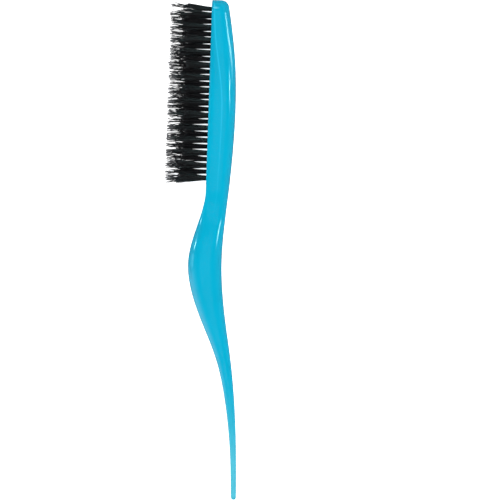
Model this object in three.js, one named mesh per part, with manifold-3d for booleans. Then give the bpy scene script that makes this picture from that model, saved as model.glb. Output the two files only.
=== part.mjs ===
// A three-row rat-tail teasing brush, lying on its side. The handle is one solid moulding: a flat-faced
// head, a neck, a bellied grip and a thin round tail. Forty-two bristle tufts stand in blind holes in the
// face, in three rows, the middle row half a pitch nearer the toe.
//
// Row frame, millimetres: +X runs from the toe of the head to the tip of the tail, the bristles point
// along -Y, and +Z is up. The origin is the bottom centre of the whole brush's box.
// While it is being built, the toe is at x = 0, the bristle face lies in y = 0, and z = 0 is the plane
// that halves the brush. Heights are measured out of the face, towards the bristle tips.
import * as THREE from "three";
import { mergeVertices } from "three/addons/utils/BufferGeometryUtils.js";
import Module from "manifold-3d";

// Tufts and their holes.
const TUFTS_PER_ROW = 14;
const TUFT_PITCH = 5.64;
const ROW_SPACING = 3.5;
const TUFT_DIAMETER = 2.2; // where the bristles leave the face
const TIP_GAP = 0.7; // left between the spread ends of neighbouring tufts
const TUFT_TIP_ROUND = 1.2; // length of the rounded end
const BRISTLE_LENGTH = 18.7; // out of the face
const HOLE_DEPTH = 4.5;
const HOLE_CLEARANCE = 0.3; // beside and under each tuft

// Head.
const TOE_MARGIN = 4.2; // toe to the centre of the first tuft
const HEEL_MARGIN = 5.66; // centre of the last tuft to the end of the flat face
const FACE_MARGIN = 2.1; // flat strip outside the outer rows
const RIM = 1.3; // edge of the flat face out to the widest line
const HEAD_SWELL = 0.78; // how much further the middle of the head stands out on each side
const HEAD_WIDEST = 0.58; // where the head is widest, as a share of its length
const HEEL_TUCK = 0.5; // how far the outline has come in at the heel
const TOE_LENGTH = 6; // length of the rounded toe, seen from the bristles
const TOE_DEPTH = 7.2;
const HEAD_DEPTH = 12.15;
const HEAD_DEEPEST = 0.56; // where the head is deepest, as a share of its length
const HEEL_DEPTH = 10.3;
const TOE_CORNER_LENGTH = 3; // rounded corner between the toe and the back, along the head
const TOE_CORNER_DEPTH = 2.8;

// Neck.
const NECK_RUN = 11; // end of the face to the narrowest place
const FADE_LEAD = 4; // the flat strip starts to narrow this far before the heel
const FADE_END = 9; // and is gone this far before the fullest place of the grip
const NECK_WIDTH = 10.44;
const NECK_FRONT = 1.95; // height of the front line there
const NECK_BACK = -9.3;

// Grip.
const CREST_RUN = 20; // narrowest place of the neck to the fullest place of the grip
const GRIP_TAPER = 43; // from there to the start of the tail
const GRIP_WIDTH = 17.6;
const GRIP_FRONT = 6.95;
const GRIP_BACK = -8.15;

// Tail.
const TAIL_LENGTH = 65;
const TAIL_ROOT_WIDTH = 8.5;
const TAIL_ROOT_FRONT = -6.3;
const TAIL_ROOT_BACK = -13.3;
const TIP_WIDTH = 2.6;
const TIP_FRONT = -15.8;
const TIP_BACK = -18.2;

// Places along the handle that follow from those sizes.
const heel = TOE_MARGIN + (TUFTS_PER_ROW - 0.5) * TUFT_PITCH + HEEL_MARGIN;
const neck = heel + NECK_RUN;
const crest = neck + CREST_RUN;
const tailRoot = crest + GRIP_TAPER;
const tip = tailRoot + TAIL_LENGTH;
const faceHalf = ROW_SPACING + TUFT_DIAMETER / 2 + FACE_MARGIN;
const toeHalf = faceHalf + RIM;

// A natural cubic spline through [place, value] points. startSlope, when given, fixes the slope at the
// first point, and the curve stays at the first value before it.
function smoothLine(points, startSlope) {
  const x = points.map((p) => p[0]);
  const y = points.map((p) => p[1]);
  const last = points.length - 1;
  const step = (i) => x[i + 1] - x[i];
  const rise = (i) => (y[i + 1] - y[i]) / step(i);
  // Thomas elimination for the second derivative at each point.
  const upper = [startSlope === undefined ? 0 : 0.5];
  const bend = [startSlope === undefined ? 0 : (3 * (rise(0) - startSlope)) / step(0)];
  for (let i = 1; i < last; i++) {
    const pivot = 2 * (step(i - 1) + step(i)) - step(i - 1) * upper[i - 1];
    upper.push(step(i) / pivot);
    bend.push((6 * (rise(i) - rise(i - 1)) - step(i - 1) * bend[i - 1]) / pivot);
  }
  bend.push(0);
  for (let i = last - 1; i >= 0; i--) bend[i] -= upper[i] * bend[i + 1];
  return (at) => {
    if (at <= x[0]) return y[0];
    let i = 0;
    while (i < last - 1 && at > x[i + 1]) i++;
    const t = at - x[i];
    const slope = rise(i) - (step(i) * (2 * bend[i] + bend[i + 1])) / 6;
    return y[i] + t * (slope + t * (bend[i] / 2 + (t * (bend[i + 1] - bend[i])) / (6 * step(i))));
  };
}

const along = (from, to, share) => from + (to - from) * share;

// A point of an outline part-way between two others, with its own share of the way in place and in value.
const partway = ([x0, v0], [x1, v1], placeShare, valueShare) => [
  along(x0, x1, placeShare),
  along(v0, v1, valueShare),
];

// Front line of the side outline: flat face, a rise over the belly of the grip, then behind the face
// along the tail.
function frontOutline() {
  const crestPoint = [crest, GRIP_FRONT];
  const rootPoint = [tailRoot, TAIL_ROOT_FRONT];
  const tipPoint = [tip, TIP_FRONT];
  const points = [
    [heel, 0],
    [neck, NECK_FRONT],
    crestPoint,
    partway(crestPoint, rootPoint, 0.33, 0.13),
    partway(crestPoint, rootPoint, 0.67, 0.54),
    rootPoint,
    partway(rootPoint, tipPoint, 0.33, 0.58),
    partway(rootPoint, tipPoint, 0.67, 0.88),
    tipPoint,
  ];
  return smoothLine(points, 0);
}

// Back line: one long swell over the head, a shallow hollow behind the grip, then the tail.
function backOutline() {
  const toePoint = [0, -TOE_DEPTH];
  const headPoint = [along(0, heel, HEAD_DEEPEST), -HEAD_DEPTH];
  const neckPoint = [neck, NECK_BACK];
  const crestPoint = [crest, GRIP_BACK];
  const rootPoint = [tailRoot, TAIL_ROOT_BACK];
  const tipPoint = [tip, TIP_BACK];
  return smoothLine([
    toePoint,
    partway(toePoint, headPoint, 0.25, 0.42),
    partway(toePoint, headPoint, 0.58, 0.83),
    headPoint,
    [heel, -HEEL_DEPTH],
    neckPoint,
    partway(neckPoint, crestPoint, 0.4, 0.57),
    crestPoint,
    partway(crestPoint, rootPoint, 0.33, 0.15),
    partway(crestPoint, rootPoint, 0.67, 0.53),
    rootPoint,
    partway(rootPoint, tipPoint, 0.33, 0.55),
    partway(rootPoint, tipPoint, 0.67, 0.86),
    tipPoint,
  ]);
}

// Half width of the outline seen from the bristles.
function widthOutline() {
  const toePoint = [0, toeHalf];
  const headPoint = [along(0, heel, HEAD_WIDEST), toeHalf + HEAD_SWELL];
  const heelPoint = [heel, toeHalf - HEEL_TUCK];
  const neckPoint = [neck, NECK_WIDTH / 2];
  const crestPoint = [crest, GRIP_WIDTH / 2];
  const rootPoint = [tailRoot, TAIL_ROOT_WIDTH / 2];
  const tipPoint = [tip, TIP_WIDTH / 2];
  return smoothLine([
    toePoint,
    partway(toePoint, headPoint, 0.48, 0.58),
    headPoint,
    partway(headPoint, heelPoint, 0.5, 0.3),
    partway(headPoint, heelPoint, 0.83, 0.51),
    heelPoint,
    partway(heelPoint, neckPoint, 0.45, 0.65),
    neckPoint,
    partway(neckPoint, crestPoint, 0.35, 0.43),
    partway(neckPoint, crestPoint, 0.68, 0.84),
    crestPoint,
    partway(crestPoint, rootPoint, 0.25, 0.165),
    partway(crestPoint, rootPoint, 0.58, 0.49),
    rootPoint,
    partway(rootPoint, tipPoint, 0.33, 0.68),
    partway(rootPoint, tipPoint, 0.67, 0.94),
    tipPoint,
  ]);
}

const frontLine = frontOutline();
const backLine = backOutline();
const halfWidth = widthOutline();

// 1 at the middle of an elliptical end and 0 at its very end: inwards is the distance from the end.
const endRound = (inwards, length) =>
  inwards >= length ? 1 : Math.sqrt(Math.max(0, 1 - (1 - inwards / length) ** 2));

// One cross-section as points [height, z], round the outline from the edge of the flat face. It is a
// flat strip, a quarter of a superellipse on each side out to the widest line, and two more that close
// the back. The head and grip are a little fuller than an ellipse, and the tail is round.
const ROUND = 2; // exponent of a plain ellipse
const FULLNESS = 2.4; // and of the fuller outline
const WIDEST_LINE_AT_TOE = 0.15; // of the depth, from the face
const WIDEST_LINE_RUN = 0.64; // of the head's length, until it is halfway down
const FRONT_STEPS = 5;
const BACK_STEPS = 6;
const LEAST_FLAT = 0.1; // half width of the strip where the section is round
const TIP_ROUND = TIP_WIDTH / 2;
function section(x) {
  const tipShare = endRound(tip - x, TIP_ROUND);
  const middle = (frontLine(x) + backLine(x)) / 2;
  const corner = TOE_CORNER_DEPTH * (1 - endRound(x, TOE_CORNER_LENGTH));
  const front = middle + (frontLine(x) - middle) * tipShare;
  const back = middle + (backLine(x) + corner - middle) * tipShare;
  const half = halfWidth(x) * endRound(x, TOE_LENGTH) * tipShare;
  const leaving = THREE.MathUtils.smoothstep(x, heel - FADE_LEAD, crest - FADE_END);
  const flat = Math.max(Math.min(half - RIM, faceHalf * (1 - leaving)), LEAST_FLAT * tipShare);
  // The widest line starts close behind the face at the toe and is halfway down from mid-head on.
  const lowered = THREE.MathUtils.smoothstep(x, 0, along(0, heel, WIDEST_LINE_RUN));
  const share = along(WIDEST_LINE_AT_TOE, 0.5, lowered);
  const widest = along(front, back, share);
  const power = 2 / along(FULLNESS, ROUND, THREE.MathUtils.smoothstep(x, crest, tailRoot));
  const side = [];
  for (let i = 0; i <= FRONT_STEPS; i++) {
    const t = (Math.PI / 2) * (1 - i / FRONT_STEPS);
    side.push([along(widest, front, Math.sin(t) ** power), along(flat, half, Math.cos(t) ** power)]);
  }
  for (let i = 1; i < BACK_STEPS; i++) {
    const t = ((Math.PI / 2) * i) / BACK_STEPS;
    side.push([along(widest, back, Math.sin(t) ** power), half * Math.cos(t) ** power]);
  }
  const other = side.map(([height, z]) => [height, -z]).reverse();
  return [...side, [back, 0], ...other];
}

// Where the sections stand: crowded on the rounded toe and tip, even between them.
const TOE_STEPS = 6;
const TIP_STEPS = 4;
const SECTION_STEP = 3.4;
function sectionPlaces() {
  const places = [];
  for (let i = 0; i < TOE_STEPS; i++)
    places.push(TOE_LENGTH * (1 - Math.cos((Math.PI / 2) * ((i + 0.35) / TOE_STEPS))));
  const run = tip - TIP_ROUND - TOE_LENGTH;
  const count = Math.round(run / SECTION_STEP);
  for (let i = 0; i <= count; i++) places.push(TOE_LENGTH + (run * i) / count);
  for (let i = 1; i < TIP_STEPS; i++)
    places.push(tip - TIP_ROUND * (1 - Math.sin((Math.PI / 2) * (i / TIP_STEPS))));
  return places;
}

// Skins rings of points into one closed mesh, with a fan over each end.
function loft(rings) {
  const count = rings[0].length;
  const positions = rings.flat(2);
  const index = [];
  for (let r = 0; r + 1 < rings.length; r++)
    for (let i = 0; i < count; i++) {
      const a = r * count + i;
      const b = r * count + ((i + 1) % count);
      index.push(a, a + count, b, b, a + count, b + count);
    }
  const lastRing = (rings.length - 1) * count;
  for (let i = 1; i + 1 < count; i++) {
    index.push(0, i, i + 1);
    index.push(lastRing, lastRing + i + 1, lastRing + i);
  }
  const geometry = new THREE.BufferGeometry();
  geometry.setAttribute("position", new THREE.Float32BufferAttribute(positions, 3));
  geometry.setIndex(index);
  return geometry;
}

const wasm = await Module();
wasm.setup();

function toSolid(geometry) {
  const bare = geometry.clone();
  bare.deleteAttribute("normal");
  bare.deleteAttribute("uv");
  const merged = mergeVertices(bare, 1e-5);
  return new wasm.Manifold(
    new wasm.Mesh({
      numProp: 3,
      vertProperties: new Float32Array(merged.attributes.position.array),
      triVerts: new Uint32Array(merged.index.array),
    }),
  );
}

function toGeometry(solid) {
  const mesh = solid.getMesh();
  const geometry = new THREE.BufferGeometry();
  geometry.setAttribute("position", new THREE.BufferAttribute(mesh.vertProperties, 3));
  geometry.setIndex(new THREE.BufferAttribute(mesh.triVerts, 1));
  geometry.computeVertexNormals();
  return geometry;
}

// Centre of each tuft on the face: name, x and z.
function tuftPlaces() {
  const rows = [
    { name: "left", z: -ROW_SPACING, lag: 0.5 },
    { name: "middle", z: 0, lag: 0 },
    { name: "right", z: ROW_SPACING, lag: 0.5 },
  ];
  return rows.flatMap(({ name, z, lag }) =>
    Array.from({ length: TUFTS_PER_ROW }, (_, i) => ({
      name: `tuft_${name}_${String(i + 1).padStart(2, "0")}`,
      x: TOE_MARGIN + (i + lag) * TUFT_PITCH,
      z,
    })),
  );
}

const ROUND_SIDES = 10;

// The handle, with one blind hole for each tuft. The face is the plane y = 0 and the back is at +y.
function handle() {
  const rings = sectionPlaces().map((x) => section(x).map(([height, z]) => [x, -height, z]));
  let body = toSolid(loft(rings));
  const above = 1; // the cutter starts this far out of the face
  for (const { x, z } of tuftPlaces()) {
    const radius = TUFT_DIAMETER / 2 + HOLE_CLEARANCE;
    const cutter = new THREE.CylinderGeometry(radius, radius, HOLE_DEPTH + above, ROUND_SIDES);
    cutter.translate(x, (HOLE_DEPTH - above) / 2, z);
    body = body.subtract(toSolid(cutter));
  }
  const material = new THREE.MeshStandardMaterial({ color: 0x0ab4dc, roughness: 0.22, metalness: 0 });
  const mesh = new THREE.Mesh(toGeometry(body), material);
  mesh.name = "handle";
  return mesh;
}

const bristleMaterial = new THREE.MeshStandardMaterial({ color: 0x0d0d10, roughness: 0.6, metalness: 0 });

// One tuft about its own +Y axis, with y = 0 at the face: a straight root down in its hole, spreading
// from the face to a rounded end.
function tuft({ name, x, z }) {
  const root = TUFT_DIAMETER / 2;
  const neighbour = Math.min(TUFT_PITCH, Math.hypot(ROW_SPACING, TUFT_PITCH / 2));
  const spread = (neighbour - TIP_GAP) / 2;
  const bottom = -(HOLE_DEPTH - HOLE_CLEARANCE);
  const profile = [
    [0, bottom],
    [root, bottom],
    [root, 0],
    [spread, BRISTLE_LENGTH - TUFT_TIP_ROUND],
    [0.6 * spread, BRISTLE_LENGTH],
    [0, BRISTLE_LENGTH],
  ].map(([radius, height]) => new THREE.Vector2(radius, height));
  const mesh = new THREE.Mesh(new THREE.LatheGeometry(profile, ROUND_SIDES), bristleMaterial);
  mesh.name = name;
  mesh.position.set(x, 0, z);
  mesh.rotation.x = Math.PI;
  return mesh;
}

// The whole brush, moved so that the origin is the bottom centre of its box.
const brush = new THREE.Group();
brush.add(handle(), ...tuftPlaces().map(tuft));
const box = new THREE.Box3().setFromObject(brush);
const centre = box.getCenter(new THREE.Vector3());
brush.position.set(-centre.x, -centre.y, -box.min.z);

export default brush;
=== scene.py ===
# %% [markdown]
# # A rat-tail teasing brush
#
# The real brush is three kinds of thing: one glossy plastic moulding, forty-two tufts of black bristle
# and, hidden in the holes, the flat wire anchors that hold each folded tuft down. This lesson builds each
# of them as a surface worked out with numpy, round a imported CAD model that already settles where
# everything is. The brush lies on its side, bristles along -Y and tail along +X.

import bpy
import numpy as np
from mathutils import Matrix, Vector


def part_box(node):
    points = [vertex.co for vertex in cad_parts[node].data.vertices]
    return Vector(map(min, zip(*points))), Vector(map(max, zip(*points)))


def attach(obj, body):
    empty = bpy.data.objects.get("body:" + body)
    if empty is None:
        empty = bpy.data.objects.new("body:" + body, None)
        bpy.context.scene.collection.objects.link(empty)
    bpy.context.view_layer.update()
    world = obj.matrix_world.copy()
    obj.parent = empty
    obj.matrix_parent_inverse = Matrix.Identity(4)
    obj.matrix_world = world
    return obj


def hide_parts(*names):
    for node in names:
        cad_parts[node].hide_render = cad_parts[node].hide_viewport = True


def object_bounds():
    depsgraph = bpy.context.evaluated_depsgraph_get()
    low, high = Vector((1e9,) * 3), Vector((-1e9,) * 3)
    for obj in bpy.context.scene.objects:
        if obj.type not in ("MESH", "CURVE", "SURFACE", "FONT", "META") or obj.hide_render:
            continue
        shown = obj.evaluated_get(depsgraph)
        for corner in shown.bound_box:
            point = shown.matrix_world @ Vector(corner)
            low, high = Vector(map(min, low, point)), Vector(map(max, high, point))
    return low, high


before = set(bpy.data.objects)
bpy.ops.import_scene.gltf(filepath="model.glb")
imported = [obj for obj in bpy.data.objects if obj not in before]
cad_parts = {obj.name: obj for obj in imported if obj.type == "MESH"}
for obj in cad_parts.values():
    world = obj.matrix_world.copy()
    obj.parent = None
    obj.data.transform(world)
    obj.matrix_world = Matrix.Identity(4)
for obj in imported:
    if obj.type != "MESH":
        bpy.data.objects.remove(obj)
cad_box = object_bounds()
MM = 0.001
TUFTS = sorted(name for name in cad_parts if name.startswith("tuft_"))
print("CAD nodes:", len(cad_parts), "of which tufts:", len(TUFTS))

# %% [markdown]
# ## From numbers to a mesh
#
# Every piece here is a grid of points: rings of points one after another. Joining each ring to the next
# gives four-sided faces, and one closing face pattern at each end makes the skin watertight. The face
# lists are plain index arithmetic, so a whole piece goes into Blender in a few array calls, which is far
# quicker than adding points one by one.

# %% Grid faces and a mesh writer
def ring_faces(rings, sides):
    """Quads of a tube of rings x sides points: each point, its neighbour in the ring, and the same two in
    the next ring. The last point of a ring joins the first."""
    here = np.arange(rings - 1)[:, None] * sides
    first = np.arange(sides)[None, :]
    after = (first + 1) % sides
    quads = np.stack([here + first, here + after, here + sides + after, here + sides + first], axis=-1)
    return quads.reshape(-1, 4)


def cap_faces(start, sides):
    """Quads across one ring with an even number of points, from side to side: point i and i + 1 on one
    side with their mirror images, counted back from the ring's end, on the other."""
    i = np.arange(sides // 2 - 1)
    return np.stack([start + i, start + sides - 1 - i, start + sides - 2 - i, start + i + 1], axis=-1)


def write_mesh(name, points, quads, values=None):
    """An object at the origin with these points, in metres, these four-sided faces and any named values
    per point."""
    mesh = bpy.data.meshes.new(name)
    mesh.vertices.add(len(points))
    mesh.vertices.foreach_set("co", np.asarray(points, np.float32).ravel())
    mesh.loops.add(quads.size)
    mesh.loops.foreach_set("vertex_index", quads.astype(np.int32).ravel())
    mesh.polygons.add(len(quads))
    mesh.polygons.foreach_set("loop_start", np.arange(0, quads.size, 4, dtype=np.int32))
    mesh.polygons.foreach_set("use_smooth", np.ones(len(quads), bool))
    mesh.update(calc_edges=True)
    for label, numbers in (values or {}).items():
        layer = mesh.attributes.new(label, "FLOAT", "POINT")
        layer.data.foreach_set("value", np.asarray(numbers, np.float32).ravel())
    piece = bpy.data.objects.new(name, mesh)
    bpy.context.scene.collection.objects.link(piece)
    return piece


print("3 rings of 4 points:", len(ring_faces(3, 4)), "faces round, and", len(cap_faces(0, 4)), "in a cap")

# %% [markdown]
# ## Shader arithmetic
#
# A pattern in a material is arithmetic on numbers that vary over the surface. Written as nodes it is hard
# to read, so one small class lets a node's output take part in ordinary Python expressions, and one
# method adds any other node.

# %% Values
class Value:
    """A socket that can be added, multiplied and so on. Each operation adds one Math node."""

    def __init__(self, tree, socket):
        self.tree = tree
        self.socket = socket

    def math(self, operation, *others):
        node = self.tree.nodes.new("ShaderNodeMath")
        node.operation = operation
        for slot, other in zip(node.inputs, others):
            if isinstance(other, Value):
                self.tree.links.new(other.socket, slot)
            else:
                slot.default_value = other
        return Value(self.tree, node.outputs[0])

    def __add__(self, other):
        return self.math("ADD", self, other)

    def __mul__(self, other):
        return self.math("MULTIPLY", self, other)

    def __sub__(self, other):
        return self.math("SUBTRACT", self, other)

    def __rsub__(self, other):
        return self.math("SUBTRACT", other, self)

    def __truediv__(self, other):
        return self.math("DIVIDE", self, other)

    def __rtruediv__(self, other):
        return self.math("DIVIDE", other, self)

    def clipped(self):
        """The value held between 0 and 1."""
        return self.math("MINIMUM", self.math("MAXIMUM", self, 0.0), 1.0)

    __radd__ = __add__
    __rmul__ = __mul__


# %% Recipes
class Recipe:
    """The nodes of a material, or of the world, written as a list."""

    def __init__(self, owner):
        owner.use_nodes = True
        self.owner = owner
        self.tree = owner.node_tree
        self.tree.nodes.clear()

    def node(self, kind, settings=None, inputs=None, output=0):
        """Adds a node: its settings first, then its sockets. Gives back the output that is asked for."""
        made = self.tree.nodes.new("ShaderNode" + kind)
        for key, setting in (settings or {}).items():
            setattr(made, key, setting)
        for key, given in (inputs or {}).items():
            if isinstance(given, Value):
                self.tree.links.new(given.socket, made.inputs[key])
            else:
                made.inputs[key].default_value = given
        return Value(self.tree, made.outputs[output]) if len(made.outputs) else None

    def place(self):
        """Where a point is on the piece, in metres."""
        return self.node("TexCoord", output="Object")

    def noise(self, scale, detail=2.0, vector=None):
        """Noise about 1/scale metres across, from 0 to 1."""
        inputs = {"Vector": vector or self.place(), "Scale": scale, "Detail": detail}
        return self.node("TexNoise", inputs=inputs, output="Fac")

    def blend(self, share, first, second):
        """A colour between two colours."""
        colours = {0: share, 6: first, 7: second}
        return self.node("Mix", {"data_type": "RGBA"}, colours, output=2)

    def bump(self, height, distance, strength=1.0):
        """A normal tilted by a height that varies from 0 to 1, distance metres tall."""
        return self.node("Bump", inputs={"Height": height, "Distance": distance, "Strength": strength})

    def finish(self, **inputs):
        """The Principled shader with its sockets, and the material's output."""
        sockets = {key.replace("_", " "): given for key, given in inputs.items()}
        shader = self.node("BsdfPrincipled", inputs=sockets)
        self.node("OutputMaterial", inputs={"Surface": shader})
        return self.owner


def recipe(name):
    """The recipe of a new material."""
    return Recipe(bpy.data.materials.new(name))


def rgba(red, green, blue):
    return (red, green, blue, 1.0)


print("a colour as the sockets take it:", rgba(0.0, 0.4, 0.6))

# %% [markdown]
# ## The outlines of the moulding
#
# A moulded handle like this is drawn as three smooth lines along its length: the front line and the back
# line of the side view, and the half width of the front view. A natural cubic spline through a few
# points bends as a thin strip of wood would, with no sudden change of curvature, and that matters here
# because a glossy surface shows every kink as a broken highlight. The sizes are the CAD model's own, in
# millimetres from the toe of the head, and heights are counted out of the bristle face.

# %% Sizes and places
TUFT_PITCH, ROW_SPACING, TUFTS_PER_ROW = 5.64, 3.5, 14
TUFT_DIAMETER = 2.2
BRISTLE_LENGTH = 18.7
HOLE_DEPTH, HOLE_CLEARANCE = 4.5, 0.3
TOE_MARGIN, HEEL_MARGIN, FACE_MARGIN, RIM = 4.2, 5.66, 2.1, 1.3
HEAD_SWELL, HEEL_TUCK, TOE_LENGTH = 0.78, 0.5, 6
TOE_DEPTH, HEAD_DEPTH, HEEL_DEPTH = 7.2, 12.15, 10.3
HEAD_WIDEST, HEAD_DEEPEST = 0.58, 0.56
TOE_CORNER_LENGTH, TOE_CORNER_DEPTH = 3, 2.8
NECK_RUN, NECK_WIDTH, NECK_FRONT, NECK_BACK = 11, 10.44, 1.95, -9.3
FADE_LEAD, FADE_END = 4, 9
CREST_RUN, GRIP_TAPER, GRIP_WIDTH, GRIP_FRONT, GRIP_BACK = 20, 43, 17.6, 6.95, -8.15
TAIL_LENGTH, TAIL_ROOT_WIDTH, TAIL_ROOT_FRONT, TAIL_ROOT_BACK = 65, 8.5, -6.3, -13.3
TIP_WIDTH, TIP_FRONT, TIP_BACK = 2.6, -15.8, -18.2

heel = TOE_MARGIN + (TUFTS_PER_ROW - 0.5) * TUFT_PITCH + HEEL_MARGIN
neck = heel + NECK_RUN
crest = neck + CREST_RUN
tail_root = crest + GRIP_TAPER
tip = tail_root + TAIL_LENGTH
face_half = ROW_SPACING + TUFT_DIAMETER / 2 + FACE_MARGIN
toe_half = face_half + RIM
print(f"heel at {heel:.1f} mm, neck {neck:.1f}, crest {crest:.1f}, tail from {tail_root:.1f} to {tip:.1f}")


# %% Splines and the three outlines
def smooth_line(points, start_slope=None):
    """A natural cubic spline through [place, value] points: the bending at the points solves one linear
    system, in which the slope is the same on both sides of each point. start_slope fixes the slope at the
    first point, and before it the line keeps the first value."""
    x, y = np.array(points, float).T
    step, last = np.diff(x), len(x) - 1
    rise = np.diff(y) / step
    matrix, right = np.eye(last + 1), np.zeros(last + 1)
    inner = np.arange(1, last)
    matrix[inner, inner - 1] = step[:-1]
    matrix[inner, inner] = 2 * (step[:-1] + step[1:])
    matrix[inner, inner + 1] = step[1:]
    right[inner] = 6 * np.diff(rise)
    if start_slope is not None:
        matrix[0, :2] = 2 * step[0], step[0]
        right[0] = 6 * (rise[0] - start_slope)
    bend = np.linalg.solve(matrix, right)

    def line(places):
        i = np.clip(np.searchsorted(x, places) - 1, 0, last - 1)
        t = np.maximum(places, x[0]) - x[i]
        slope = rise[i] - step[i] * (2 * bend[i] + bend[i + 1]) / 6
        return y[i] + t * (slope + t * (bend[i] / 2 + t * (bend[i + 1] - bend[i]) / (6 * step[i])))

    return line


def along(start, end, share):
    return start + (end - start) * share


def partway(start, end, place_share, value_share):
    """A point of an outline part-way between two others, in place and in value."""
    return along(start[0], end[0], place_share), along(start[1], end[1], value_share)


def front_outline():
    """Flat face, a rise over the belly of the grip, then behind the face along the tail."""
    crest_point, root_point, tip_point = (crest, GRIP_FRONT), (tail_root, TAIL_ROOT_FRONT), (tip, TIP_FRONT)
    points = [(heel, 0), (neck, NECK_FRONT), crest_point]
    points += [partway(crest_point, root_point, 0.33, 0.13), partway(crest_point, root_point, 0.67, 0.54)]
    points += [root_point, partway(root_point, tip_point, 0.33, 0.58)]
    points += [partway(root_point, tip_point, 0.67, 0.88), tip_point]
    return smooth_line(points, 0)


def back_outline():
    """One long swell over the head, a shallow hollow behind the grip, then the tail."""
    toe_point, head_point = (0, -TOE_DEPTH), (along(0, heel, HEAD_DEEPEST), -HEAD_DEPTH)
    neck_point, crest_point = (neck, NECK_BACK), (crest, GRIP_BACK)
    root_point, tip_point = (tail_root, TAIL_ROOT_BACK), (tip, TIP_BACK)
    points = [toe_point, partway(toe_point, head_point, 0.25, 0.42)]
    points += [partway(toe_point, head_point, 0.58, 0.83), head_point, (heel, -HEEL_DEPTH), neck_point]
    points += [partway(neck_point, crest_point, 0.4, 0.57), crest_point]
    points += [partway(crest_point, root_point, 0.33, 0.15), partway(crest_point, root_point, 0.67, 0.53)]
    points += [root_point, partway(root_point, tip_point, 0.33, 0.55)]
    points += [partway(root_point, tip_point, 0.67, 0.86), tip_point]
    return smooth_line(points)


def width_outline():
    """Half width: blunt toe, slightly swelled head, waist, grip and tapering tail."""
    toe_point, head_point = (0, toe_half), (along(0, heel, HEAD_WIDEST), toe_half + HEAD_SWELL)
    heel_point, neck_point = (heel, toe_half - HEEL_TUCK), (neck, NECK_WIDTH / 2)
    crest_point, root_point = (crest, GRIP_WIDTH / 2), (tail_root, TAIL_ROOT_WIDTH / 2)
    tip_point = (tip, TIP_WIDTH / 2)
    points = [toe_point, partway(toe_point, head_point, 0.48, 0.58), head_point]
    points += [partway(head_point, heel_point, 0.5, 0.3), partway(head_point, heel_point, 0.83, 0.51)]
    points += [heel_point, partway(heel_point, neck_point, 0.45, 0.65), neck_point]
    points += [partway(neck_point, crest_point, 0.35, 0.43), partway(neck_point, crest_point, 0.68, 0.84)]
    points += [crest_point, partway(crest_point, root_point, 0.25, 0.165)]
    points += [partway(crest_point, root_point, 0.58, 0.49), root_point]
    points += [partway(root_point, tip_point, 0.33, 0.68), partway(root_point, tip_point, 0.67, 0.94)]
    return smooth_line([*points, tip_point])


front_line, back_line, half_width = front_outline(), back_outline(), width_outline()
stations = np.array([heel, neck, crest, tail_root])
print("widths at heel, neck, crest and tail root:", np.round(2 * half_width(stations), 1))
print("depths there:", np.round(front_line(stations) - back_line(stations), 1))

# %% [markdown]
# ## One section of the moulding
#
# Cut across anywhere, the handle is the same kind of shape: a flat strip for the bristles, a rounded rim
# out to the widest line, and a rounded back. Each rounded stretch is a quarter of a superellipse, whose
# exponent says how full it is: 2 is an ellipse, and 2.4 is a little squarer, which pushes the long
# highlight out towards the back edge. Along the neck the flat strip narrows to nothing, so one formula
# gives the round grip and the tail as well.
#
# The two halves of the mould meet at the widest line and leave a hair-thin raised line there. It is real
# geometry, so the points of a section are crowded where it stands.

# %% Sections
ROUND, FULLNESS = 2.0, 2.4
WIDEST_LINE_AT_TOE, WIDEST_LINE_RUN = 0.15, 0.64
LEAST_FLAT = 0.05
TIP_ROUND = TIP_WIDTH / 2
FLASH_HEIGHT, FLASH_WIDTH, FLASH_FROM, FLASH_FADE = 0.05, 0.13, 1, 30
FLAT_POINTS, FRONT_POINTS, BACK_POINTS = 8, 26, 34
CROWDING = 0.8


def smooth_step(value, start, end):
    """0 before start, 1 after end, and between them a curve with no jump in slope or in bending."""
    t = np.clip((value - start) / (end - start), 0, 1)
    return t**3 * (t * (6 * t - 15) + 10)


def end_round(inwards, length):
    """Height of a quarter ellipse, length long, at a distance inwards from its end."""
    return np.sqrt(np.clip(1 - np.clip(1 - inwards / length, 0, 1) ** 2, 0, 1))


def crowded(count):
    """Numbers from 0 to 1 that lie closer together near both ends: even steps less part of one sine wave."""
    even = np.linspace(0, 1, count)
    return even - CROWDING * np.sin(2 * np.pi * even) / (2 * np.pi)


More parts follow.
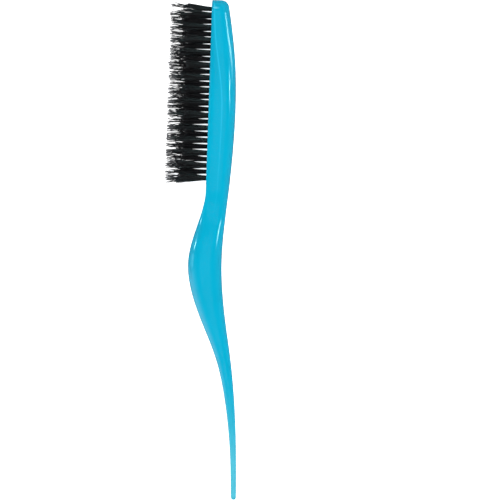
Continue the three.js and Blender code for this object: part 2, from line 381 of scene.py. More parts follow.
def sections(x):
    """Heights and widths round the section at each place x. Along a quarter, height goes as the sine and
    width as the cosine of an angle, each to the power 2 / exponent. The flash line is a bell curve added
    to the width. The other side is the mirror image."""
    x = x[:, None]
    tip_share = end_round(tip - x, TIP_ROUND)
    middle = (front_line(x) + back_line(x)) / 2
    corner = TOE_CORNER_DEPTH * (1 - end_round(x, TOE_CORNER_LENGTH))
    front = along(middle, front_line(x), tip_share)
    back = along(middle, back_line(x) + corner, tip_share)
    half = half_width(x) * end_round(x, TOE_LENGTH) * tip_share
    leaving = smooth_step(x, heel - FADE_LEAD, crest - FADE_END)
    flat = np.maximum(np.minimum(half - RIM, face_half * (1 - leaving)), LEAST_FLAT * tip_share)
    lowered = smooth_step(x, 0, along(0, heel, WIDEST_LINE_RUN))
    widest = along(front, back, along(WIDEST_LINE_AT_TOE, 0.5, lowered))
    power = 2 / along(FULLNESS, ROUND, smooth_step(x, crest, tail_root))

    strip = crowded(FLAT_POINTS + 1)[None, 1:-1]
    rim = np.pi / 2 * (1 - crowded(FRONT_POINTS)[None, :])
    dome = np.pi / 2 * crowded(BACK_POINTS + 1)[None, 1:-1]
    height = [front + 0 * strip, along(widest, front, np.sin(rim) ** power)]
    height += [along(widest, back, np.sin(dome) ** power)]
    width = [flat * strip, along(flat, half, np.clip(np.cos(rim), 0, 1) ** power)]
    width += [half * np.cos(dome) ** power]
    height, width = np.concatenate(height, 1), np.concatenate(width, 1)
    flash = FLASH_HEIGHT * smooth_step(x, FLASH_FROM, TOE_LENGTH)
    flash = flash * (1 - smooth_step(x, crest, crest + FLASH_FADE))
    width = width + flash * np.exp(-(((height - widest) / FLASH_WIDTH) ** 2)) * (width > flat)
    return np.concatenate([height, height[:, ::-1]], 1), np.concatenate([width, -width[:, ::-1]], 1)


print("points round one section:", sections(stations)[0].shape[1])

# %% [markdown]
# ## The moulding itself
#
# Sections stand close together on the rounded toe and at the tip, and evenly between them. The skin is
# one closed surface. The forty-two blind holes are then cut into it with a Boolean modifier. On the real
# one they are drilled, or left by pins in the mould. The cutter is a turned shape, repeated: a straight
# wall, a shallow cone at the bottom, and a small lead-in at the mouth.

# %% Skin of the handle
face_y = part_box("tuft_middle_01")[0].y / MM + BRISTLE_LENGTH
toe_x = cad_box[0].x / MM
mid_z = (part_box("handle")[0].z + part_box("handle")[1].z) / 2 / MM
TOE_RINGS, BODY_STEP, TIP_RINGS = 26, 0.62, 12
TOE_POLE, TIP_POLE = 0.035, 0.06


def ring_places():
    """Places of the sections: by equal angles on the two rounded ends, by equal steps between them. The
    first and last stand a small angle short of the poles, and a cap closes each."""
    toe = TOE_LENGTH * (1 - np.cos(np.linspace(TOE_POLE, np.pi / 2, TOE_RINGS)))
    body = np.arange(TOE_LENGTH + BODY_STEP, tip - TIP_ROUND - BODY_STEP / 2, BODY_STEP)
    end = tip - TIP_ROUND * (1 - np.sin(np.linspace(0, np.pi / 2 - TIP_POLE, TIP_RINGS)))
    return np.concatenate([toe, body, end])


def in_frame(x, height, width):
    """Places from the toe, heights out of the face and places across, in mm, as points of the frame."""
    x, height, width = np.broadcast_arrays(x, height, width)
    return np.stack([toe_x + x, face_y - height, mid_z + width], axis=-1) * MM


x_rings = ring_places()
ring_heights, ring_widths = sections(x_rings)
rings, sides = ring_heights.shape
skin_points = in_frame(x_rings[:, None], ring_heights, ring_widths).reshape(-1, 3)
toe_cap = cap_faces(0, sides)[:, ::-1]
tip_cap = cap_faces((rings - 1) * sides, sides)
skin_quads = np.concatenate([ring_faces(rings, sides), toe_cap, tip_cap])
handle = write_mesh("handle_moulding", skin_points, skin_quads)
print("handle skin:", rings, "sections of", sides, "points")

# %% Holes for the tufts
HOLE_SIDES, SHARP_ANGLE = 28, 32
HOLE_RADIUS, MOUTH_RADIUS, LEAD_IN = 1.25, TUFT_DIAMETER / 2 + HOLE_CLEARANCE, 0.15
HOLE_CONE, CONE_END_RADIUS, CUTTER_ABOVE = 0.35, 0.4, 1.0


def middle_of(name):
    """A tuft's place along the brush and across it, in mm, in the frame."""
    low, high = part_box(name)
    return (low.x + high.x) / 2 / MM, (low.z + high.z) / 2 / MM


def turned(profile, centres, count):
    """Rings round an axis across the face: the profile's [radius, height] points at even angles, once for
    each centre."""
    profile, centres = np.array(profile, float), np.array(centres, float)
    angle = np.arange(count) * 2 * np.pi / count
    radius = profile[None, :, None, 0]
    x = centres[:, None, None, 0] + radius * np.cos(angle)
    z = centres[:, None, None, 1] + radius * np.sin(angle)
    y = face_y - profile[None, :, None, 1] + 0 * x
    points = np.stack([x, y, z], axis=-1).reshape(-1, 3) * MM
    rings = len(profile)
    one = [ring_faces(rings, count), cap_faces(0, count)[:, ::-1], cap_faces((rings - 1) * count, count)]
    shift = np.arange(len(centres))[:, None, None] * rings * count
    return points, (np.concatenate(one)[None] + shift).reshape(-1, 4)


def cut_holes(piece, centres):
    """Takes one turned cutter at each centre out of the piece, then marks the sharp edges it leaves."""
    cone = [[CONE_END_RADIUS, -HOLE_DEPTH], [HOLE_RADIUS, HOLE_CONE - HOLE_DEPTH]]
    profile = [*cone, [HOLE_RADIUS, -LEAD_IN], [MOUTH_RADIUS, 0], [MOUTH_RADIUS, CUTTER_ABOVE]]
    cutter = write_mesh("hole_cutter", *turned(profile, centres, HOLE_SIDES))
    drill = piece.modifiers.new("holes", "BOOLEAN")
    drill.operation, drill.object, drill.solver = "DIFFERENCE", cutter, "EXACT"
    graph = bpy.context.evaluated_depsgraph_get()
    cut = bpy.data.meshes.new_from_object(piece.evaluated_get(graph))
    piece.modifiers.clear()
    piece.data = cut
    cut.name = piece.name
    bpy.data.objects.remove(cutter)
    cut.set_sharp_from_angle(angle=np.radians(SHARP_ANGLE))


cut_holes(handle, [middle_of(name) for name in TUFTS])
print("handle with holes:", len(handle.data.polygons), "faces")

# %% [markdown]
# ## Cyan moulded plastic
#
# The plastic is a bright opaque cyan with a mirror-like moulded skin. What keeps it from looking like
# paint is that it isn't even. Three marks in its colour are painted light. The thin tail is painted paler,
# for light passing through thin plastic. The bristle side of the head is painted a shade deeper, as
# painted shade. A paler line is painted where the halves of the mould meet, as a painted highlight on
# the parting line. Besides, the skin is never perfectly flat, so a highlight wavers slightly along its
# length.
#
# The painted paler tail, the cloudiness and the waves come from the place on the piece. The painted
# highlight line and the painted shade follow the outlines, so they are worked out once for each point and
# stored there as named values. All of them stay put whatever turns.

# %% Masks for the painted highlight and the painted shade
# Width of the painted highlight line across the widest line, and the places along the brush, in mm, where it
# starts, is full, starts to fade and is gone.
SEAM_WIDTH, SEAM_FROM, SEAM_FULL, SEAM_FADE, SEAM_TO = 0.28, 1, 3.0, 30, 118
# How softly the painted shade on the bristle side starts at the widest line, and where along the brush it
# fades out, in mm.
HALVES_BLEND, HALVES_FADE, HALVES_TO = 0.2, 15, 55


def widest_height(x):
    """Height of the widest line, where the halves of the mould meet, at each place x."""
    lowered = smooth_step(x, 0, along(0, heel, WIDEST_LINE_RUN))
    return along(front_line(x), back_line(x), along(WIDEST_LINE_AT_TOE, 0.5, lowered))


def colour_values(mesh):
    """Two masks of painted light. The first is a bell curve across the widest line, where a paler line is
    painted as a highlight. The second is 1 between that line and the bristle face, where a deeper colour is
    painted as shade. Both die away along the brush."""
    co = np.empty(3 * len(mesh.vertices), np.float32)
    mesh.vertices.foreach_get("co", co)
    x, y = co.reshape(-1, 3)[:, 0] / MM - toe_x, co.reshape(-1, 3)[:, 1] / MM
    above = face_y - y - widest_height(x)
    # Painted highlight: a paler line along the widest line, where the rounded parting ridge would catch the
    # light.
    seam_highlight = np.exp(-((above / SEAM_WIDTH) ** 2)) * smooth_step(x, SEAM_FROM, SEAM_FULL)
    seam_highlight = seam_highlight * (1 - smooth_step(x, SEAM_FADE, SEAM_TO))
    # Painted shade: 1 between the widest line and the bristle face, where that side of the head is painted a
    # shade deeper.
    painted_front_shade = smooth_step(above, -HALVES_BLEND, HALVES_BLEND)
    painted_front_shade = painted_front_shade * (1 - smooth_step(x, HALVES_FADE, HALVES_TO))
    for label, numbers in (("seam_highlight", seam_highlight), ("painted_front_shade", painted_front_shade)):
        mesh.attributes.new(label, "FLOAT", "POINT").data.foreach_set("value", numbers.astype(np.float32))
        print(label, "is over a half on", int((numbers > 0.5).sum()), "points")


colour_values(handle.data)

# %% Handle material
# From the first place to the second, in mm along the brush, the tail is painted paler: painted light, for
# light passing through the thin plastic.
TAIL_FROM, TAIL_TO = 50, 96
DEEP_CYAN, BODY_CYAN, TAIL_THROUGH_LIGHT_CYAN = (0.0008, 0.41, 0.62), (0.0010, 0.445, 0.68), (0.085, 0.55, 0.72)
# The first colour is painted shade on the bristle side of the head. The second is a painted highlight along
# the parting line, laid on at the share that follows.
FRONT_SHADE_CYAN, SEAM_HIGHLIGHT_CYAN, SEAM_HIGHLIGHT_SHARE = (0.0008, 0.395, 0.61), (0.02, 0.56, 0.82), 0.7
# Scale of each pattern, in repeats to a metre, and how much of it is added.
CLOUD, SMEAR, GRAIN = 60, (45, 0.03), (700, 0.04)
WAVE, RIPPLE, WAVE_HEIGHT = (90, 0.7), (900, 0.06), 0.00012
LEAST_ROUGHNESS = 0.06


def cyan_plastic():
    """Colour from place along the brush, with a faint cloudiness, the thin tail painted paler for light
    passing through, a painted highlight on the parting line and painted shade on the bristle side; gloss
    broken by shallow waves.
    """
    plastic = recipe("cyan gloss plastic")
    along_brush = plastic.node("SeparateXYZ", inputs={"Vector": plastic.place()}, output="X")
    tail = ((along_brush - TAIL_FROM * MM) / ((TAIL_TO - TAIL_FROM) * MM)).clipped()
    cloud = plastic.noise(CLOUD, detail=3)
    painted_front_shade = plastic.node("Attribute", {"attribute_name": "painted_front_shade"}, output="Fac")
    seam_highlight = plastic.node("Attribute", {"attribute_name": "seam_highlight"}, output="Fac")
    body = plastic.blend(cloud, rgba(*DEEP_CYAN), rgba(*BODY_CYAN))
    # Painted shade: the bristle side of the head is given a deeper cyan.
    front_shaded = plastic.blend(painted_front_shade, body, rgba(*FRONT_SHADE_CYAN))
    # Painted highlight: a paler cyan along the parting line.
    parting_line_lit = plastic.blend(seam_highlight * SEAM_HIGHLIGHT_SHARE, front_shaded, rgba(*SEAM_HIGHLIGHT_CYAN))
    # Painted light: the thin tail made paler, as light passing through it would make it.
    colour = plastic.blend(tail * tail, parting_line_lit, rgba(*TAIL_THROUGH_LIGHT_CYAN))
    waves = plastic.noise(WAVE[0], detail=1) * WAVE[1] + plastic.noise(RIPPLE[0], detail=2) * RIPPLE[1]
    grain, smear = plastic.noise(GRAIN[0], detail=3), plastic.noise(SMEAR[0])
    roughness = grain * GRAIN[1] + smear * SMEAR[1] + LEAST_ROUGHNESS
    skin = plastic.bump(waves, WAVE_HEIGHT, 0.5)
    return plastic.finish(Base_Color=colour, Roughness=roughness, Normal=skin, IOR=1.5)


handle.data.materials.clear()
handle.data.materials.append(cyan_plastic())
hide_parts("handle")
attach(handle, "root")
print("handle material:", len(handle.data.materials[0].node_tree.nodes), "nodes")

# %% [markdown]
# ## A tuft of bristles
#
# A real tuft is a small bundle of nylon filaments, folded in half over a flat wire anchor and driven into
# its hole together with it. So each filament here runs from one tip down into the hole, under the anchor
# and up to its other tip. The bundle is round at the face and fans out slowly. Most filaments end between
# a half and four fifths of the way up, at uneven heights, and cling to their neighbours in small locks. A
# few long ones carry on and wander across each other, which is what teases the hair.
#
# A curve object per filament would be slow and heavy. Instead the middle lines of all the filaments of a
# tuft are one array, and thin six-sided rings are carried along them in a single calculation.

# %% Places of the filaments in the bundle
BUNDLE_RADIUS, FAN_OUT, LEAST_OFF = 0.94, 0.072, 0.06
FOLD_TOP, FOLD_BOTTOM = 3.72, 4.32
ANCHOR_TOP = 2.2
GOLDEN = 0.5 * (5**0.5 - 1)


def spiral_places(count, first, total, rng):
    """Even places over a half disc: the radius goes as the square root of the number, the angle by golden
    steps. Returned as places along the anchor and off it, in mm, in their order along the anchor. None is
    closer to the middle of the anchor than LEAST_OFF."""
    k = np.arange(first, first + count)
    radius = BUNDLE_RADIUS * np.sqrt((k + 0.5) / total)
    angle = np.pi * ((k * GOLDEN + rng.random()) % 1)
    order = np.argsort(np.cos(angle) * radius)
    off = LEAST_OFF + (1 - LEAST_OFF) * radius * np.sin(angle)
    return (radius * np.cos(angle))[order], off[order]


trial_places = spiral_places(3, 0, 3, np.random.default_rng(0))
print("three places along the anchor and off it:", *np.round(trial_places, 2))

# %% Two kinds of filament
# Each kind: how many, the range of lengths and which end of it is commoner, thickness at the face and
# share of it left at the tip, share of the bundle's fanning, scatter of direction, how many neighbours
# cling together and how closely, height and pace of the waves, how far those neighbours may end below
# their shared length, and steps up to the tip.
DENSE = dict(count=36, lengths=(10.6, 15.2), skew=1.5, thickness=0.21, tip_share=0.75, fan=1.15)
DENSE |= dict(scatter=0.026, clump=6, gather=0.35, wave=0.12, pace=(0.4, 0.8), uneven=0.5)
DENSE["shares"] = np.array([0.12, 0.36, 0.6, 0.8, 1.0])
LONG = dict(count=6, lengths=(15.4, 18.9), skew=0.42, thickness=0.32, tip_share=0.85, fan=1.15)
LONG |= dict(scatter=0.046, clump=1, gather=0, wave=0.34, pace=(0.55, 1.15), uneven=0)
LONG["shares"] = np.array([0.1, 0.28, 0.44, 0.56, 0.66, 0.75, 0.84, 0.92, 1.0])
KINDS = (LONG, DENSE)
TOTAL = sum(kind["count"] for kind in KINDS)
TUFT_LEAN, TUFT_FULLNESS, LOOSE_FROM = 0.010, (0.9, 1.55), 2.5
print("bristle ends of a tuft:", 2 * DENSE["count"], "shorter and", 2 * LONG["count"], "long")


# %% One half of every filament
def arm_lines(kind, side, beside, off, lean, fullness, rng):
    """One half of every filament, from the face to the tip. A place moves outwards in proportion to its
    distance from the middle, slowly at first, then wavers more and more towards the tip: half freed at
    the height LOOSE_FROM. The few that cling together share one length, one scatter and one wave, gather
    towards their own middle, and then end a random bit lower each."""
    count, clump = len(beside), kind["clump"]
    groups = (2, count // clump, 1)
    length = along(*kind["lengths"], np.repeat(rng.random(count // clump), clump) ** kind["skew"])
    length = length - kind["uneven"] * rng.random(count)
    height = kind["shares"] * length[:, None]
    root = np.stack([beside, side * off])
    middle = np.repeat(root.reshape(2, -1, clump).mean(-1), clump, axis=1)
    scatter = np.repeat(rng.normal(0, kind["scatter"], groups), clump, axis=1)
    slope = fullness * kind["fan"] * FAN_OUT / BUNDLE_RADIUS * root[:, :, None] + scatter
    freed = height / (height + LOOSE_FROM)
    phase, pace = rng.uniform(0, 2 * np.pi, groups), rng.uniform(*kind["pace"], groups)
    turn = np.repeat(phase, clump, axis=1) + height * np.repeat(pace, clump, axis=1)
    gathered = kind["gather"] * (middle - root)[:, :, None] * freed**2
    moved = slope * height * freed + gathered + kind["wave"] * freed**4 * np.sin(turn)
    x, z = root[:, :, None] + moved
    return np.stack([x + lean * height, height, z], axis=-1)


# %% Whole filaments
# Down in the hole: a filament's distance from the anchor's middle is PLATE_CLEAR and a share of its place
# off the anchor, and its place along it is squeezed a little beside the plate and at the fold.
PLATE_CLEAR, PLATE_SHARE = 0.26, 0.7
PLATE_SQUEEZE, FOLD_SQUEEZE, FOLD_ROUND = 0.97, 0.95, 0.35


def filament_lines(kind, first, lean, fullness, rng):
    """Whole filaments: one arm from its tip down to the face, the fold under the anchor, the other arm up
    to its tip. Filaments that start further from the anchor fold lower."""
    beside, off = spiral_places(kind["count"], first, TOTAL, rng)
    arms = [arm_lines(kind, side, beside, off, lean, fullness, rng) for side in (-1, 1)]
    depth = FOLD_TOP + (FOLD_BOTTOM - FOLD_TOP) * off / BUNDLE_RADIUS
    clear = PLATE_CLEAR + PLATE_SHARE * off
    down = []
    for side in (-1, 1):
        beside_plate = np.stack([beside * PLATE_SQUEEZE, -ANCHOR_TOP + 0 * depth, side * clear], axis=-1)
        above_fold = np.stack([beside * FOLD_SQUEEZE, FOLD_ROUND * off - depth, side * clear], axis=-1)
        down.append(np.stack([beside_plate, above_fold], axis=1))
    fold = np.stack([beside * FOLD_SQUEEZE, -depth, 0 * depth], axis=-1)[:, None]
    return np.concatenate([arms[0][:, ::-1], down[0], fold, down[1][:, ::-1], arms[1]], axis=1)


trial_lines = filament_lines(LONG, 0, 0, 1, np.random.default_rng(0))
print("points along a long filament, from tip to tip:", trial_lines.shape[1])

# %% Tubes round the middle lines
FILAMENT_SIDES, TAPER_FROM = 6, 0.35


def tubes(lines, radius):
    """Six-sided rings round every line. The ring lies across the line: one direction is the brush's length
    less its part along the line, the other is square to both."""
    steps = lines.shape[1]
    tangent = np.gradient(lines, axis=1)
    tangent /= np.linalg.norm(tangent, axis=-1, keepdims=True)
    length_way = np.array([1.0, 0, 0])
    across = length_way - tangent * (tangent @ length_way)[..., None]
    across /= np.linalg.norm(across, axis=-1, keepdims=True)
    upright = np.cross(tangent, across)
    angle = np.arange(FILAMENT_SIDES) * 2 * np.pi / FILAMENT_SIDES
    ring = across[:, :, None] * np.cos(angle)[:, None] + upright[:, :, None] * np.sin(angle)[:, None]
    points = lines[:, :, None] + radius[:, None, None] * ring
    first, last = cap_faces(0, FILAMENT_SIDES), cap_faces((steps - 1) * FILAMENT_SIDES, FILAMENT_SIDES)
    one = np.concatenate([ring_faces(steps, FILAMENT_SIDES), first[:, ::-1], last])
    shift = np.arange(len(lines))[:, None, None] * steps * FILAMENT_SIDES
    return points, (one[None] + shift).reshape(-1, 4)


trial_radius = np.full(trial_lines.shape[1], LONG["thickness"] / 2)
print("faces of a tuft's long filaments:", len(tubes(trial_lines, trial_radius)[1]))

# %% One tuft
def bristle_tuft(name, lean, seed):
    """All the filaments of one tuft in one mesh. A point's value tip runs from 0 at the face to 1 at the
    tip, long is 1 on the long filaments, and shade is one random number for each filament."""
    rng = np.random.default_rng(seed)
    x, z = middle_of(name)
    lean, fullness = lean + rng.normal(0, TUFT_LEAN), rng.uniform(*TUFT_FULLNESS)
    points, quads, values, used, first = [], [], {"tip": [], "long": [], "shade": []}, 0, 0
    for kind in KINDS:
        lines = filament_lines(kind, first, lean, fullness, rng)
        count, steps = lines.shape[:2]
        arm = kind["shares"]
        tip_way = np.concatenate([arm[::-1], np.zeros(steps - 2 * len(arm)), arm])
        radius = kind["thickness"] / 2 * along(1, kind["tip_share"], smooth_step(tip_way, TAPER_FROM, 1))
        ring_points, ring_quads = tubes(lines, radius)
        place = [x + ring_points[..., 0], face_y - ring_points[..., 1], z + ring_points[..., 2]]
        points.append(np.stack(place, axis=-1).reshape(-1, 3) * MM)
        quads.append(ring_quads + used)
        whole = np.ones((count, steps, FILAMENT_SIDES))
        values["tip"].append((whole * tip_way[:, None]).ravel())
        values["long"].append((whole * (kind is LONG)).ravel())
        values["shade"].append((whole * rng.random((count, 1, 1))).ravel())
        used, first = used + whole.size, first + count
    values = {label: np.concatenate(numbers) for label, numbers in values.items()}
    return write_mesh(name + "_bristles", np.concatenate(points), np.concatenate(quads), values)


# %% [markdown]
# ## Black nylon
#
# Nylon filament is smooth and slightly translucent: black in the mass, grey where a single tip catches
# the light. The material mixes from black to grey by the value tip stored on the points, and by a random
# shade for each filament, so no two neighbours are quite the same.

# %% Bristle material
DARK_NYLON, PALE_NYLON, TIP_GREY = (0.004, 0.004, 0.005), (0.013, 0.013, 0.014), (0.2, 0.2, 0.21)
PALE_FROM, SHORT_PALING = 0.8, 0.2
NYLON_GRAIN, NYLON_GRAIN_HEIGHT, NYLON_ROUGHNESS = 3000, 0.00001, (0.32, 0.12, 0.1)


def black_nylon():
    """Near black, slightly different from filament to filament, turning grey at the last of a tip: fully
    on the long ones, a little on the others. Roughness is a base, a share of shade and a share of grain."""
    nylon = recipe("black nylon filament")
    tip_way = nylon.node("Attribute", {"attribute_name": "tip"}, output="Fac")
    is_long = nylon.node("Attribute", {"attribute_name": "long"}, output="Fac")
    shade = nylon.node("Attribute", {"attribute_name": "shade"}, output="Fac")
    mass = nylon.blend(shade, rgba(*DARK_NYLON), rgba(*PALE_NYLON))
    paling = ((tip_way - PALE_FROM) / (1 - PALE_FROM)).clipped()
    most = is_long * (1 - SHORT_PALING) + SHORT_PALING
    colour = nylon.blend(paling * paling * most, mass, rgba(*TIP_GREY))
    grain = nylon.noise(NYLON_GRAIN, detail=1)
    base, by_shade, by_grain = NYLON_ROUGHNESS
    roughness = shade * by_shade + grain * by_grain + base
    skin = nylon.bump(grain, NYLON_GRAIN_HEIGHT)
    return nylon.finish(Base_Color=colour, Roughness=roughness, IOR=1.53, Normal=skin)


# %% All the tufts
# The first tuft of the middle row leans towards the toe, and the last of each row a little to the tail.
FIRST_LEAN, LAST_LEAN = -0.062, 0.02
nylon_material = black_nylon()
for seed, name in enumerate(TUFTS):
    row, number = name.split("_")[1], int(name.split("_")[2])
    lean = FIRST_LEAN if (row, number) == ("middle", 1) else LAST_LEAN if number == TUFTS_PER_ROW else 0
    tuft = bristle_tuft(name, lean, seed)
    tuft.data.materials.append(nylon_material)
    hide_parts(name)
    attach(tuft, "root")
print("each tuft:", 2 * TOTAL, "bristle ends,", len(tuft.data.polygons), "faces")

# %% [markdown]
# ## Wire anchors
#
# The anchor is a short piece of flat wire, a little wider than it is tall, pressed edge-on into the hole
# so that it bites the plastic on both sides. It is made as rings of a rounded rectangle carried along its
# width, bent in a shallow arch by the driver that pushes its middle down.

# %% Anchors
ANCHOR_WIDTH, ANCHOR_TALL, ANCHOR_THICK, ANCHOR_SAG = 2.46, 1.36, 0.26, 0.12
ANCHOR_RINGS, ANCHOR_SIDES, ANCHOR_CORNER = 15, 16, 0.42
END_SHRINK, END_POWER = 0.35, 8


def anchor_plate(name):
    """A rounded rectangle, tall and thin, at every step of the width: cosine and sine of an angle, each to
    a small power. Its middle height follows a parabola, and it shrinks by END_SHRINK at the two ends."""
    x_mid, z_mid = middle_of(name)
    way = np.sin(np.linspace(-np.pi / 2, np.pi / 2, ANCHOR_RINGS))[:, None]
    angle = (np.arange(ANCHOR_SIDES) + 0.5)[None, :] * 2 * np.pi / ANCHOR_SIDES
    shrink = 1 - END_SHRINK * (np.abs(way) ** END_POWER)
    tall = np.sign(np.sin(angle)) * np.abs(np.sin(angle)) ** ANCHOR_CORNER * ANCHOR_TALL / 2 * shrink
    thick = np.sign(np.cos(angle)) * np.abs(np.cos(angle)) ** ANCHOR_CORNER * ANCHOR_THICK / 2 * shrink
    height = tall - ANCHOR_TOP - ANCHOR_TALL / 2 - ANCHOR_SAG * (1 - way**2)
    x = x_mid + way * ANCHOR_WIDTH / 2 + 0 * tall
    points = np.stack([x, face_y - height, z_mid + thick], axis=-1).reshape(-1, 3) * MM
    first, last = cap_faces(0, ANCHOR_SIDES), cap_faces((ANCHOR_RINGS - 1) * ANCHOR_SIDES, ANCHOR_SIDES)
    quads = np.concatenate([ring_faces(ANCHOR_RINGS, ANCHOR_SIDES), first[:, ::-1], last])
    return write_mesh(name + "_anchor", points, quads)


# %% Anchor material
DARK_STEEL, BRIGHT_STEEL, STEEL_ROUGHNESS = (0.42, 0.42, 0.43), (0.62, 0.61, 0.6), (0.25, 0.2)
SCRATCH_SCALE, SCRATCH_DEPTH = (400, 9000, 4000), 0.000004


def drawn_steel():
    """Flat wire: bright metal with fine scratches along the way it was drawn. Roughness is a base and a
    share of the scratches."""
    steel = recipe("drawn steel wire")
    stretched = steel.node("Mapping", inputs={"Vector": steel.place(), "Scale": SCRATCH_SCALE})
    lines = steel.noise(1, detail=3, vector=stretched)
    colour = steel.blend(lines, rgba(*DARK_STEEL), rgba(*BRIGHT_STEEL))
    base, by_lines = STEEL_ROUGHNESS
    scratches = steel.bump(lines, SCRATCH_DEPTH)
    return steel.finish(Base_Color=colour, Metallic=1.0, Roughness=lines * by_lines + base, Normal=scratches)


steel_material = drawn_steel()
for name in TUFTS:
    anchor = anchor_plate(name)
    anchor.data.materials.append(steel_material)
    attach(anchor, "root")
print("anchors:", len(TUFTS), "of", len(anchor.data.polygons), "faces")

# %% [markdown]
# ## Floor and light
#
# The brush lies on a plain pale floor that glows evenly, as a light table does, so there is next to no
# shadow round it. A glossy cyan shape shows its form through reflections, so the rest is set up as in a
# studio for small products: one large soft lamp overhead that only fills, and five glowing panels that
# only reflections see. A panel gives one bright streak. Where the streak lies depends on the panel's place,
# and how it runs on how the panel's line is bent, so each of those lines was found by trial. The sky is
# dim overhead, which keeps the colour deep.

# %% Floor
FLOOR_HALF, FLOOR_GLOW = 3.0, 0.88
PAPER_SHADE, PAPER_WHITE = (0.9, 0.9, 0.9), (0.93, 0.93, 0.93)
floor_corners = [(-FLOOR_HALF, -FLOOR_HALF, 0), (FLOOR_HALF, -FLOOR_HALF, 0)]
floor_corners += [(FLOOR_HALF, FLOOR_HALF, 0), (-FLOOR_HALF, FLOOR_HALF, 0)]
floor = write_mesh("floor", floor_corners, np.array([[0, 1, 2, 3]]))
paper = recipe("pale light table")
paper_tone = paper.blend(paper.noise(scale=3), rgba(*PAPER_SHADE), rgba(*PAPER_WHITE))
glow = {"Emission_Color": rgba(1, 1, 1), "Emission_Strength": FLOOR_GLOW}
glowing_paper = paper.finish(Base_Color=paper_tone, Roughness=0.9, Specular_IOR_Level=0.0, **glow)
floor.data.materials.append(glowing_paper)
floor.visible_glossy = False
print("floor:", 2 * FLOOR_HALF, "m square")

# %% Sky
ZENITH, DIM_SIDE, BRIGHT_SIDE = 0.03, 0.12, 1.2
TAIL_RISE, BRIGHT_LEAST = 3, 0.08


def studio_sky():
    """Brightness falls from the horizon to overhead as the square of 1 less the height of a direction. The
    horizon is bright in front of the bristles on the tail's side, and dim everywhere else. Seen directly,
    the sky is plain white."""
    world = bpy.data.worlds.new("studio")
    bpy.context.scene.world = world
    sky = Recipe(world)
    direction = sky.node("TexCoord", output="Generated")
    x = sky.node("SeparateXYZ", inputs={"Vector": direction}, output="X")
    y = sky.node("SeparateXYZ", inputs={"Vector": direction}, output="Y")
    z = sky.node("SeparateXYZ", inputs={"Vector": direction}, output="Z")
    low = 1 - z.clipped()
    bright_way = (0 - y).clipped() * (x.clipped() * TAIL_RISE + BRIGHT_LEAST).clipped()
    horizon = bright_way * (BRIGHT_SIDE - DIM_SIDE) + DIM_SIDE
    strength = low * low * (horizon - ZENITH) + ZENITH
    seen = sky.node("LightPath", output="Is Camera Ray")
    background = {"Color": rgba(1, 1, 1), "Strength": strength * (1 - seen) + seen}
    sky.node("OutputWorld", inputs={"Surface": sky.node("Background", inputs=background)})


studio_sky()
print("sky:", len(bpy.context.scene.world.node_tree.nodes), "nodes")


# %% Lamp
def soft_light(name, place, size, power):
    """A square lamp above the brush, facing straight down, that fills and isn't seen in reflections."""
    lamp = bpy.data.lights.new(name, "AREA")
    lamp.shape, lamp.size, lamp.energy = "SQUARE", size, power
    light = bpy.data.objects.new(name, lamp)
    bpy.context.scene.collection.objects.link(light)
    light.location = place
    light.visible_glossy = False
    print("lamp:", name, "of", power, "W")


soft_light("overhead", place=(0, 0.12, 1.3), size=1.4, power=24)

# %% Reflectors
PANEL_COLUMNS, PANEL_ROWS, EDGE_STEEPNESS = 24, 9, 2
COOL_WHITE = (0.6, 1.0, 1.0)


def reflector(name, line, height, brightness, fade):
    """An upright glowing panel seen only in reflections. Its middle follows a smooth curve through the
    [x, y, z] points of line. Its brightness falls to nothing, as the square of the distance left, over the
    two fade lengths at its ends and over the outer half of the way to its upper and lower edges."""
    line = np.array(line, float)
    x = np.linspace(line[0, 0], line[-1, 0], PANEL_COLUMNS)
    y, z = (smooth_line(line[:, [0, axis]])(x) for axis in (1, 2))
    up = np.linspace(-1, 1, PANEL_ROWS)[:, None]
    points = np.stack(np.broadcast_arrays(x, y, z + up * height / 2), axis=-1).reshape(-1, 3)
    i = (np.arange(len(up) - 1)[:, None] * len(x) + np.arange(len(x) - 1)[None, :]).ravel()
    quads = np.stack([i, i + 1, i + 1 + len(x), i + len(x)], axis=-1)
    inside = np.repeat(1 - np.abs(up), len(x), axis=1)
    panel = write_mesh(name, points, quads, {"inside": inside})
    box = recipe(name)
    across = box.node("SeparateXYZ", inputs={"Vector": box.place()}, output="X")
    rising = ((across - x[0]) / fade[0]).clipped()
    falling = ((x[-1] - across) / fade[1]).clipped()
    within = box.node("Attribute", {"attribute_name": "inside"}, output="Fac")
    soft_edge = (within * EDGE_STEEPNESS).clipped()
    strength = brightness * rising * rising * falling * falling * soft_edge * soft_edge
    light = box.node("Emission", inputs={"Color": rgba(*COOL_WHITE), "Strength": strength})
    box.node("OutputMaterial", inputs={"Surface": light})
    panel.data.materials.append(box.owner)
    panel.visible_camera = panel.visible_diffuse = panel.visible_shadow = False
    print(name, "from", x[0], "to", x[-1], "m along")


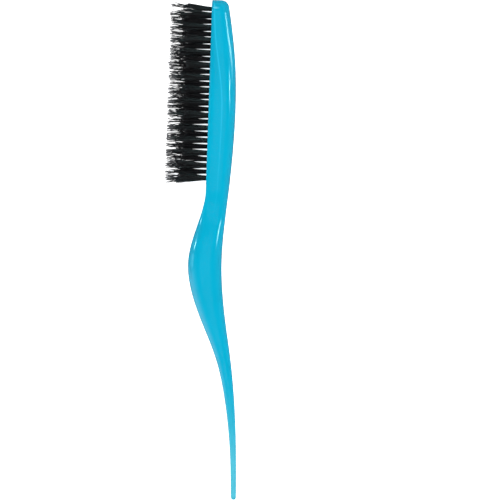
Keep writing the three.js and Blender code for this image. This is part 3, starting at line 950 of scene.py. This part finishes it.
# Each line is a few [x, y, z] points, in metres: behind the brush for the back of head and grip, in front
# of the bristles for the face and the rim, and beyond the toe for the toe.
head_curve = [(-0.95, 3, 0.3), (-0.87, 3, 0.1), (-0.77, 3, -0.7), (-0.64, 3, -0.95), (-0.45, 3, -0.6)]
grip_curve = [(-0.66, 3, 0.95), (-0.5, 3, 0.95), (-0.4, 3, 0.9), (-0.3, 3, 0.8), (-0.15, 3, 0.55)]
face_curve = [(-0.43, -0.95, -0.07), (-0.32, -0.95, -0.065), (-0.2, -0.95, -0.06)]
rim_curve = [(-0.2, -1, -0.1), (-0.05, -1, -0.1), (0.15, -1, -0.1)]
toe_curve = [(-1.35, -0.75, 1.0), (-1.3, -0.2, 1.0), (-1.2, 0.75, 1.0)]
reflector("head reflector", head_curve, height=0.7, brightness=22, fade=(0.03, 0.40))
reflector("grip reflector", grip_curve, height=0.5, brightness=36, fade=(0.02, 0.45))
reflector("face reflector", face_curve, height=0.24, brightness=26, fade=(0.12, 0.09))
reflector("rim reflector", rim_curve, height=0.9, brightness=1.6, fade=(0.05, 0.05))
reflector("toe reflector", toe_curve, height=1.2, brightness=5.5, fade=(0.01, 0.07))

# %% [markdown]
# ## Camera and finish
#
# The camera looks straight down on the side of the brush, turned so that the toe is at the top. It stands
# far off with a long lens, so that near and far edges come out at nearly the same scale. The field is the
# width of what it sees at the brush, and the lens follows from it.

# %% Camera
CAMERA_ROLL, CAMERA_PLACE, CAMERA_FIELD, CAMERA_DISTANCE = 91.914, (-0.0003, 0.0210), 0.2255, 0.95
SENSOR_WIDTH = 36
camera_data = bpy.data.cameras.new("camera")
camera = bpy.data.objects.new("camera", camera_data)
bpy.context.scene.collection.objects.link(camera)
camera.location = (*CAMERA_PLACE, CAMERA_DISTANCE + mid_z * MM)
camera.rotation_euler = (0, 0, np.radians(CAMERA_ROLL))
camera_data.sensor_width = SENSOR_WIDTH
camera_data.lens = camera_data.sensor_width * CAMERA_DISTANCE / CAMERA_FIELD
bpy.context.scene.camera = camera
bpy.context.scene.view_settings.view_transform = "Standard"
print("lens:", round(camera_data.lens, 1), "mm")

# %% Finish
bpy.context.view_layer.update()
